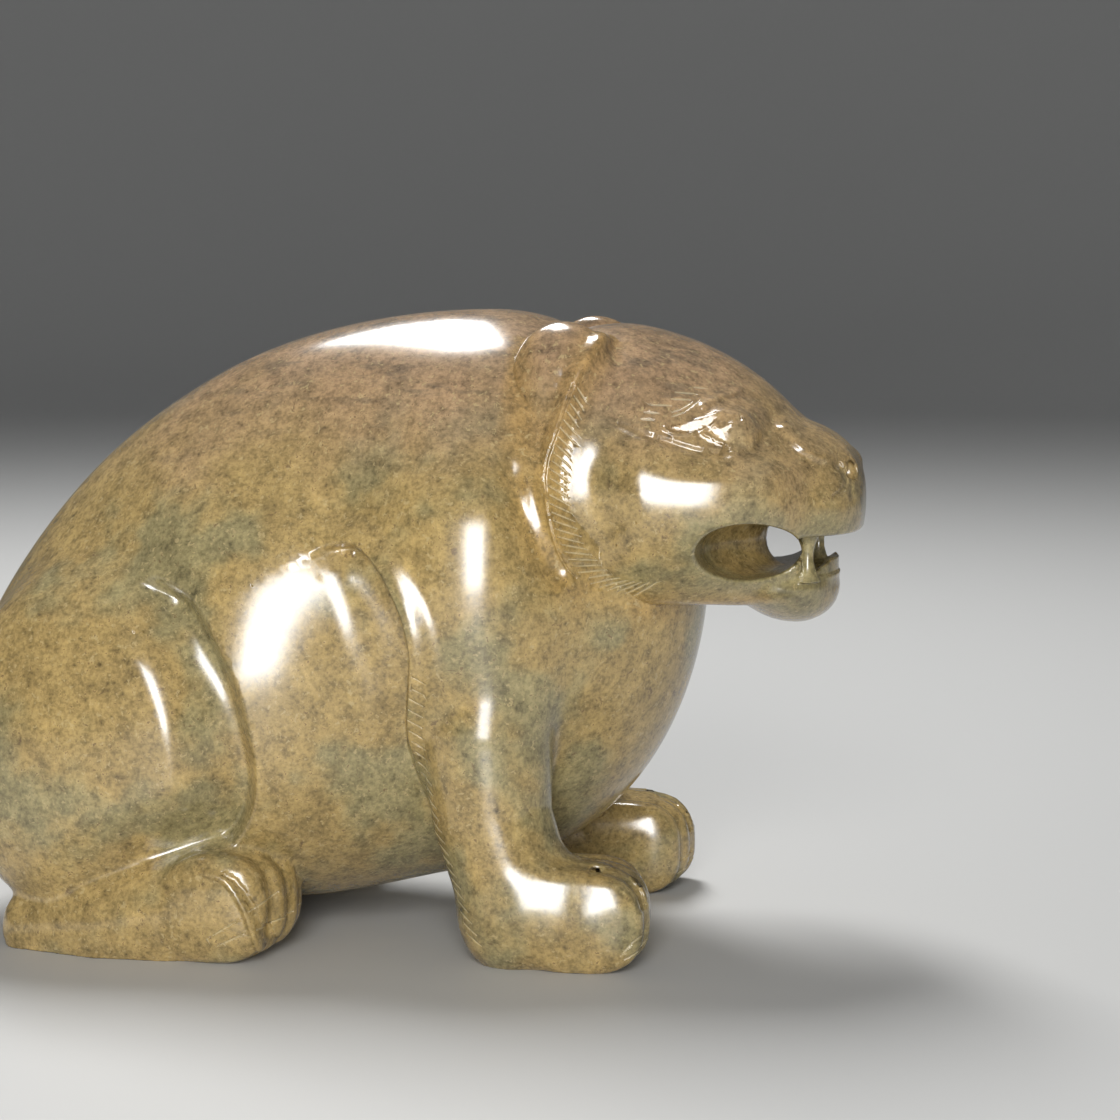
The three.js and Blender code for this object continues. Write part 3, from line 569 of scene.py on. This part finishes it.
def line_cut(lines, x, y, z, tapered=False):
    """How deep the lines cut. A raised line's depth is below zero."""
    cut = np.zeros(x.shape)
    for line in lines:
        width, depth, inner = line[4:]
        near, away, t = near_line(line, x, y, z, width)
        if not near.any():
            continue
        if tapered:
            width = width * (0.55 + 0.45 * np.sin(math.pi * np.clip(t, 0.1, 0.9)))
        here = depth * (1 - fade(0.15, 1.25, 2 * away / width)) * fade(inner, inner + LINE_FADE, y[near])
        cut[near] = np.where(np.abs(here) > np.abs(cut[near]), here, cut[near])
    return cut


def bear_distance(points):
    x, y, z = points[:, 0], np.abs(points[:, 1]), points[:, 2]
    d = body(x, y, z)
    near = (np.abs(d) < CARVING_REACH) & (y > 8)
    for line, carving, reach in (
        (haunch_groove, haunch_carving, HAUNCH_BEVEL_WIDTH),
        (shoulder_edge, shoulder_carving, SHOULDER_WALL_WIDTH),
        (shoulder_edge, flank_hollow, 9),
    ):
        here = near & line.near(x, z, reach)
        d[here] += carving(x[here], z[here])
    here = near & neck_fold.near(x, z, 3)
    off, along = neck_fold.measure(x[here], z[here])
    d[here] += NECK_FOLD_DEPTH * bump(off, 2.2) * fade(0, 0.3, along)
    d = blend(d, limbs(x, y, z), 1.0)
    front = x > 4
    if front.any():
        fx, fy, fz = x[front], y[front], z[front]
        bear_head = head(fx, fy, fz)
        close = bear_head < CARVING_REACH
        bear_head[close] = face(bear_head[close], fx[close], fy[close], fz[close])
        whole = np.minimum(d[front], bear_head)
        open_part = (fx > 28) & (whole < CARVING_REACH)
        whole[open_part] = mouth(whole[open_part], fx[open_part], fy[open_part], fz[open_part])
        d[front] = whole
    near = np.abs(d) < 1
    if near.any():
        place = x[near], y[near], z[near]
        d[near] += line_cut(CREASES, *place) + line_cut(PALE_STROKES, *place, tapered=True)
    return np.maximum(d, -z)


# Mesh of the form
def grid_values(distance, low, high):
    """Distances on a grid. Only blocks near the surface are worked out point by point."""
    counts = [math.ceil((high[k] - low[k]) / CELL / BLOCK) for k in range(3)]
    middles = [low[k] + (np.arange(counts[k]) + 0.5) * BLOCK * CELL for k in range(3)]
    grid = np.stack(np.meshgrid(*middles, indexing="ij"), -1).reshape(-1, 3)
    coarse = in_parts(distance, grid).reshape(counts)
    values = coarse
    near = np.abs(coarse) < BLOCK * CELL * 1.1
    for axis in range(3):
        values = np.repeat(values, BLOCK, axis)
        near = np.repeat(near, BLOCK, axis)
    values = values.copy()
    places = np.argwhere(near)
    values[near] = in_parts(distance, low + places * CELL)
    return values


def fill_pinches(values):
    """Where stone would meet stone only along an edge of the grid, the smaller gap is filled."""
    filled = -0.05
    changed = True
    while changed:
        changed = False
        for u, v in ((0, 1), (1, 2), (2, 0)):
            steps = [np.zeros(3, int), np.eye(3, dtype=int)[u], np.eye(3, dtype=int)[v]]
            steps.append(steps[1] + steps[2])
            size = np.array(values.shape) - 1
            corner = [values[tuple(slice(s[k], s[k] + size[k]) for k in range(3))] for s in steps]
            inside = [c < 0 for c in corner]
            for pair, other in (((0, 3), (1, 2)), ((1, 2), (0, 3))):
                mixed = inside[pair[0]] & inside[pair[1]] & ~inside[other[0]] & ~inside[other[1]]
                if not mixed.any():
                    continue
                first = corner[other[0]] <= corner[other[1]]
                for which, chosen in ((other[0], mixed & first), (other[1], mixed & ~first)):
                    at = np.argwhere(chosen) + steps[which]
                    values[tuple(at.T)] = filled
                changed = True
    return values


def surface(values, low):
    """One point in each cell that the surface passes through, joined into quads."""
    inside = values < 0
    cells = np.array(values.shape) - 1
    corners = [np.array([n & 1, (n >> 1) & 1, n >> 2]) for n in range(8)]
    parts = [inside[tuple(slice(c[k], c[k] + cells[k]) for k in range(3))] for c in corners]
    total = sum(part.astype(np.int8) for part in parts)
    active = np.argwhere((total > 0) & (total < 8))
    number = np.full(cells, -1)
    number[tuple(active.T)] = np.arange(len(active))
    corner_values = [values[tuple((active + c).T)] for c in corners]
    place = np.zeros((len(active), 3))
    crossings = np.zeros(len(active))
    for n in range(8):
        for axis, bit in enumerate((1, 2, 4)):
            if n & bit:
                continue
            va, vb = corner_values[n], corner_values[n | bit]
            crossed = (va < 0) != (vb < 0)
            t = np.where(crossed, va / np.where(crossed, va - vb, 1), 0)
            place += np.where(crossed, 1, 0)[:, None] * (corners[n] + t[:, None] * np.eye(3)[axis])
            crossings += crossed
    points = low + (active + place / crossings[:, None]) * CELL
    quads = []
    for axis, (u, v) in enumerate(((1, 2), (2, 0), (0, 1))):
        step = np.eye(3, dtype=int)[axis]
        size = np.array(values.shape) - step
        here = inside[tuple(slice(0, size[k]) for k in range(3))]
        there = inside[tuple(slice(step[k], step[k] + size[k]) for k in range(3))]
        at = np.argwhere(here != there)
        ring = []
        for du, dv in ((0, 0), (-1, 0), (-1, -1), (0, -1)):
            cell = at.copy()
            cell[:, u] += du
            cell[:, v] += dv
            ring.append(number[tuple(cell.T)])
        quad = np.stack(ring, 1)
        outward = here[tuple(at.T)]
        quads.append(np.where(outward[:, None], quad, quad[:, ::-1]))
    quads = np.vstack(quads)
    return points, np.vstack([quads[:, [0, 1, 2]], quads[:, [0, 2, 3]]])


def settle(distance, points, passes=2):
    for _ in range(passes):
        d, slope = slope_at(distance, points)
        steep = np.maximum((slope**2).sum(axis=1), 0.2)
        push = np.clip(d / steep, -CELL / 3, CELL / 3)
        points = points - push[:, None] * slope
    return points


def normals_at(points):
    _, slope = slope_at(bear_distance, points, 0.02)
    return slope / np.maximum(np.linalg.norm(slope, axis=1), 1e-9)[:, None]


def on_bends(points, normals, edges):
    """Edges where the surface turns, as at lips, creases and toes."""
    a, b = edges.T
    length = np.linalg.norm(points[a] - points[b], axis=1)
    turn = 1 - (normals[a] * normals[b]).sum(axis=1)
    return (length > BEND_EDGE) & (turn > BEND)


def on_strokes(points, normals, edges):
    """Edges beside the fine lines."""
    a, b = edges.T
    length = np.linalg.norm(points[a] - points[b], axis=1)
    middle = (points[a] + points[b]) / 2
    x, y, z = middle[:, 0], np.abs(middle[:, 1]), middle[:, 2]
    wanted = np.full(len(edges), np.inf)
    for line in PALE_STROKES + CREASES:
        width = line[4]
        near, away, _ = near_line(line, x, y, z, width)
        limit = np.maximum(STROKE_EDGE * width / STROKE_WIDTH, STROKE_SPREAD * (away - 0.4 * width))
        wanted[near] = np.minimum(wanted[near], limit)
    return length > wanted


def refine(points, normals, faces, chosen):
    """Splits each chosen edge at its middle, and the faces beside it."""
    ends = np.sort(np.vstack([faces[:, [0, 1]], faces[:, [1, 2]], faces[:, [2, 0]]]), axis=1)
    edges, which = np.unique(ends, axis=0, return_inverse=True)
    marked = chosen(points, normals, edges)
    new = np.full(len(edges), -1)
    new[marked] = len(points) + np.arange(marked.sum())
    middle = new[which.reshape(-1)].reshape(3, -1).T
    count = (middle >= 0).sum(axis=1)
    out = [faces[count == 0]]
    for turn in range(3):
        order = [(turn + k) % 3 for k in range(3)]
        a, b, c = (faces[:, k] for k in order)
        ab, bc, ca = (middle[:, k] for k in order)
        one = (count == 1) & (ab >= 0)
        out.append(np.stack([a, ab, c], 1)[one])
        out.append(np.stack([ab, b, c], 1)[one])
        two = (count == 2) & (ca < 0)
        out.append(np.stack([ab, b, bc], 1)[two])
        out.append(np.stack([a, ab, bc], 1)[two])
        out.append(np.stack([a, bc, c], 1)[two])
        three = count == 3
        if turn == 0:
            out.append(np.stack([ab, bc, ca], 1)[three])
        out.append(np.stack([a, ab, ca], 1)[three])
    added = settle(bear_distance, points[edges[marked]].mean(axis=1))
    return np.vstack([points, added]), np.vstack([normals, normals_at(added)]), np.vstack(out)


def bear_mesh():
    margin = 3.0
    low = np.array([RUMP_X - margin, -HALF_WIDTH - margin, -margin])
    high = np.array([NOSE_X + margin, HALF_WIDTH + margin, HEIGHT + margin])
    values = fill_pinches(grid_values(bear_distance, low, high))
    points, faces = surface(values, low)
    points = settle(bear_distance, points)
    normals = normals_at(points)
    for chosen in (on_bends, on_bends, on_strokes, on_strokes, on_strokes):
        points, normals, faces = refine(points, normals, faces, chosen)
    return points, faces, normals


def painted_glow_share(points):
    """Painted glow: how much warm amber stands in for light shining through the stone where it is thin and
    translucent, along the ears' and ruff's edges.
    """
    x, y, z = points[:, 0], np.abs(points[:, 1]), points[:, 2]
    share = np.zeros(len(points))
    for line, width in ((ruff_edge, 3.0), (ruff_crest, 3.2)):
        near = line.near(x, z, width) & (y > 8) & (x > 11) & (x < 36)
        off, _ = line.measure(x[near], z[near])
        share[near] = np.maximum(share[near], bump(off, width))
    return share


def put_attribute(mesh, name, values):
    attribute = mesh.attributes.new(name, "FLOAT", "POINT")
    attribute.data.foreach_set("value", values.astype(np.float32))


def make_bear():
    points, faces, normals = bear_mesh()
    print("bear mesh:", len(points), "points", len(faces), "triangles")
    placed = (points + np.array([SHIFT_X, 0, 0])) * MM
    mesh = bpy.data.meshes.new("carved_bear")
    mesh.from_pydata(placed.tolist(), [], faces.tolist())
    mesh.polygons.foreach_set("use_smooth", np.ones(len(faces), bool))
    strokes = line_cut(PALE_STROKES, points[:, 0], np.abs(points[:, 1]), points[:, 2], tapered=True)
    put_attribute(mesh, "stroke", strokes / STROKE_DEPTH)
    # Mask of the painted glow along the thin ear and ruff edges
    put_attribute(mesh, "painted_glow", painted_glow_share(points))
    mesh.update()
    mesh.normals_split_custom_set_from_vertices(normals.tolist())
    bear = bpy.data.objects.new("carved_bear", mesh)
    bpy.context.collection.objects.link(bear)
    return bear


# Material: polished jade
class Nodes:
    """A short way to add nodes and links to a material."""

    def __init__(self, name):
        self.material = bpy.data.materials.new(name)
        self.material.use_nodes = True
        self.tree = self.material.node_tree
        self.tree.nodes.clear()

    def add(self, kind, settings=None, **inputs):
        node = self.tree.nodes.new(kind)
        for key, value in (settings or {}).items():
            setattr(node, key, value)
        for key, value in inputs.items():
            self.feed(node.inputs[key.replace("_", " ")], value)
        return node

    def feed(self, socket, value):
        if isinstance(value, bpy.types.NodeSocket):
            self.tree.links.new(value, socket)
        else:
            socket.default_value = value

    def noise(self, place, size_mm, detail=3.0, roughness=0.55, distortion=0.0):
        node = self.add("ShaderNodeTexNoise", Scale=1 / (size_mm * MM), Detail=detail, Roughness=roughness)
        node.inputs["Distortion"].default_value = distortion
        self.feed(node.inputs["Vector"], place)
        return node.outputs["Fac"]

    def steps(self, value, low, high):
        node = self.add("ShaderNodeMapRange", {"interpolation_type": "SMOOTHSTEP"}, Value=value)
        node.inputs["From Min"].default_value = low
        node.inputs["From Max"].default_value = high
        return node.outputs["Result"]

    def maths(self, operation, a, b=0.0):
        node = self.add("ShaderNodeMath", {"operation": operation})
        self.feed(node.inputs[0], a)
        self.feed(node.inputs[1], b)
        return node.outputs["Value"]

    def mix(self, share, a, b):
        node = self.add("ShaderNodeMix", {"data_type": "RGBA"})
        self.feed(node.inputs["Factor"], share)
        self.feed(node.inputs[6], a)
        self.feed(node.inputs[7], b)
        return node.outputs[2]

    def shade(self, colour, value):
        node = self.add("ShaderNodeHueSaturation", Color=colour, Value=value)
        return node.outputs["Color"]

    def attribute(self, name):
        return self.add("ShaderNodeAttribute", {"attribute_name": name}).outputs["Fac"]


TAN = (0.315, 0.222, 0.084, 1)
OLIVE = (0.235, 0.196, 0.092, 1)
MAUVE = (0.30, 0.192, 0.112, 1)
# Painted glow: warm amber standing in for light shining through the thin ear and ruff edges
PAINTED_GLOW_AMBER = (0.34, 0.208, 0.06, 1)
PALE_GRAIN = (0.50, 0.39, 0.19, 1)
BROWN_SPECK = (0.13, 0.08, 0.04, 1)
GREY_BLOT = (0.07, 0.062, 0.045, 1)
CREAM = (0.62, 0.52, 0.31, 1)


def jade_material():
    n = Nodes("polished_jade")
    place = n.add("ShaderNodeTexCoord").outputs["Object"]
    height = n.add("ShaderNodeSeparateXYZ", Vector=place).outputs["Z"]
    colour = n.mix(n.steps(n.noise(place, 11.0, 3), 0.46, 0.62), TAN, OLIVE)
    crown = n.steps(n.maths("ADD", height, n.maths("MULTIPLY", n.noise(place, 12.0), 0.016)), 0.05, 0.066)
    colour = n.mix(n.maths("MULTIPLY", crown, 0.85), colour, MAUVE)
    veins = n.add("ShaderNodeMapping", Vector=place)
    veins.inputs["Scale"].default_value = (0.25, 0.5, 1.0)
    streaks = n.steps(n.noise(veins.outputs["Vector"], 1.6, 4, 0.65), 0.52, 0.66)
    streaks = n.maths("MULTIPLY", streaks, crown)
    colour = n.mix(n.maths("MULTIPLY", streaks, 0.5), colour, GREY_BLOT)
    # Painted glow: warm amber on the ears' and ruff's thin edges stands in for light shining through the
    # stone
    colour = n.mix(n.maths("MULTIPLY", n.attribute("painted_glow"), 0.6), colour, PAINTED_GLOW_AMBER)
    mottle = n.maths("ADD", n.noise(place, 0.42, 2, 0.6), n.noise(place, 1.6, 3, 0.6))
    clouds = n.maths("ADD", n.maths("MULTIPLY", n.noise(place, 6.0, 3), 0.7), 0.68)
    mottle = n.maths("ADD", n.maths("MULTIPLY", mottle, 1.6), -0.6)
    colour = n.shade(colour, n.maths("MULTIPLY", mottle, clouds))
    grains = n.steps(n.noise(place, 0.6, 3, 0.65, 0.4), 0.58, 0.68)
    colour = n.mix(n.maths("MULTIPLY", grains, 0.55), colour, PALE_GRAIN)
    specks = n.steps(n.noise(place, 0.42, 3, 0.7, 0.3), 0.6, 0.7)
    colour = n.mix(n.maths("MULTIPLY", specks, 0.8), colour, BROWN_SPECK)
    blots = n.steps(n.noise(place, 1.7, 5, 0.72, 0.6), 0.64, 0.69)
    colour = n.mix(n.maths("MULTIPLY", blots, 0.75), colour, BROWN_SPECK)
    colour = n.mix(n.maths("MULTIPLY", n.attribute("stroke"), 0.6), colour, CREAM)
    bsdf = n.add("ShaderNodeBsdfPrincipled", Base_Color=colour)
    bsdf.inputs["IOR"].default_value = 1.66
    bsdf.inputs["Specular IOR Level"].default_value = 0.62
    bsdf.inputs["Subsurface Weight"].default_value = 0.06
    bsdf.inputs["Subsurface Radius"].default_value = (1.0, 0.6, 0.25)
    bsdf.inputs["Subsurface Scale"].default_value = 0.001
    rough = n.maths("ADD", 0.16, n.maths("MULTIPLY", n.attribute("stroke"), 0.3))
    rough = n.maths("ADD", rough, n.maths("MULTIPLY", n.noise(place, 0.5, 3), 0.06))
    n.feed(bsdf.inputs["Roughness"], rough)
    grain = n.add("ShaderNodeBump", Strength=0.06, Distance=0.0001, Height=n.noise(place, 0.5, 4, 0.6))
    n.feed(bsdf.inputs["Normal"], grain.outputs["Normal"])
    out = n.add("ShaderNodeOutputMaterial")
    n.feed(out.inputs["Surface"], bsdf.outputs["BSDF"])
    return n.material


def table_material():
    n = Nodes("pale_table")
    bsdf = n.add("ShaderNodeBsdfPrincipled", Base_Color=(0.55, 0.55, 0.54, 1), Roughness=0.55)
    out = n.add("ShaderNodeOutputMaterial")
    n.feed(out.inputs["Surface"], bsdf.outputs["BSDF"])
    return n.material


# Camera, table and light
VIEW_AZIMUTH = math.radians(9)
VIEW_ELEVATION = math.radians(6.1)
VIEW_DISTANCE = 300.0
VIEW_TARGET = np.array([14.3 + SHIFT_X, 0, 36.6])
SENSOR_WIDTH = 36
FOCAL_LENGTH = SENSOR_WIDTH * 3000 / 1120
LIGHT_TARGET = np.array([0.005, 0, 0.03])


def direction(azimuth, elevation):
    return np.array(
        [
            math.sin(azimuth) * math.cos(elevation),
            -math.cos(azimuth) * math.cos(elevation),
            math.sin(elevation),
        ]
    )


def facing(back, place):
    """The matrix of a thing at a place, in metres, whose back is turned along the given direction."""
    right = np.cross((0, 0, 1), back)
    right /= np.linalg.norm(right)
    up = np.cross(back, right)
    turned = np.eye(4)
    turned[:3, 0], turned[:3, 1], turned[:3, 2], turned[:3, 3] = right, up, back, place
    return Matrix(turned.tolist())


def add_camera():
    camera = bpy.data.objects.new("camera", bpy.data.cameras.new("camera"))
    camera.data.lens = FOCAL_LENGTH
    camera.data.sensor_width = SENSOR_WIDTH
    camera.data.clip_start = 0.01
    back = direction(VIEW_AZIMUTH, VIEW_ELEVATION)
    camera.matrix_world = facing(back, (VIEW_TARGET + back * VIEW_DISTANCE) * MM)
    bpy.context.collection.objects.link(camera)
    bpy.context.scene.camera = camera


def add_softbox(name, azimuth, elevation, distance, width, height, power):
    light = bpy.data.lights.new(name, "AREA")
    light.shape = "RECTANGLE"
    light.size = width
    light.size_y = height
    light.energy = power
    back = direction(math.radians(azimuth), math.radians(elevation))
    softbox = bpy.data.objects.new(name, light)
    softbox.matrix_world = facing(back, LIGHT_TARGET + back * distance)
    bpy.context.collection.objects.link(softbox)


def add_table():
    """A pale round table top that curves up into a wall on all sides."""
    flat, bend, wall, turns = 0.9, 0.5, 0.8, 96
    profile = [(0, 0), (flat, 0)]
    for angle in np.radians(np.arange(5, 91, 5)):
        profile.append((flat + bend * math.sin(angle), bend * (1 - math.cos(angle))))
    profile.append((flat + bend, bend + wall))
    corners = [(0, 0, 0)]
    for reach, height in profile[1:]:
        for i in range(turns):
            angle = 2 * math.pi * i / turns
            corners.append((reach * math.cos(angle), reach * math.sin(angle), height))
    faces = [(0, 1 + i, 1 + (i + 1) % turns) for i in range(turns)]
    for ring in range(len(profile) - 2):
        first, second = 1 + ring * turns, 1 + (ring + 1) * turns
        for i in range(turns):
            j = (i + 1) % turns
            faces.append((first + i, second + i, second + j, first + j))
    mesh = bpy.data.meshes.new("table")
    mesh.from_pydata(corners, [], faces)
    mesh.polygons.foreach_set("use_smooth", np.ones(len(faces), bool))
    table = bpy.data.objects.new("table", mesh)
    table.data.materials.append(table_material())
    bpy.context.collection.objects.link(table)


def add_world():
    world = bpy.data.worlds.new("studio")
    world.use_nodes = True
    world.node_tree.nodes["Background"].inputs["Color"].default_value = (0.8, 0.82, 0.85, 1)
    world.node_tree.nodes["Background"].inputs["Strength"].default_value = 0.2
    bpy.context.scene.world = world
    bpy.context.scene.view_settings.view_transform = "Standard"


add_camera()
add_table()
add_world()
add_softbox("front_softbox", azimuth=7, elevation=14, distance=0.55, width=0.16, height=0.34, power=2.5)
add_softbox("front_glow", azimuth=7, elevation=14, distance=0.56, width=0.26, height=0.44, power=0.7)
add_softbox("back_softbox", azimuth=-155, elevation=58, distance=0.5, width=0.12, height=0.3, power=2.6)

bear = make_bear()
bear.data.materials.append(jade_material())
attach(bear, "root")
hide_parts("bear")
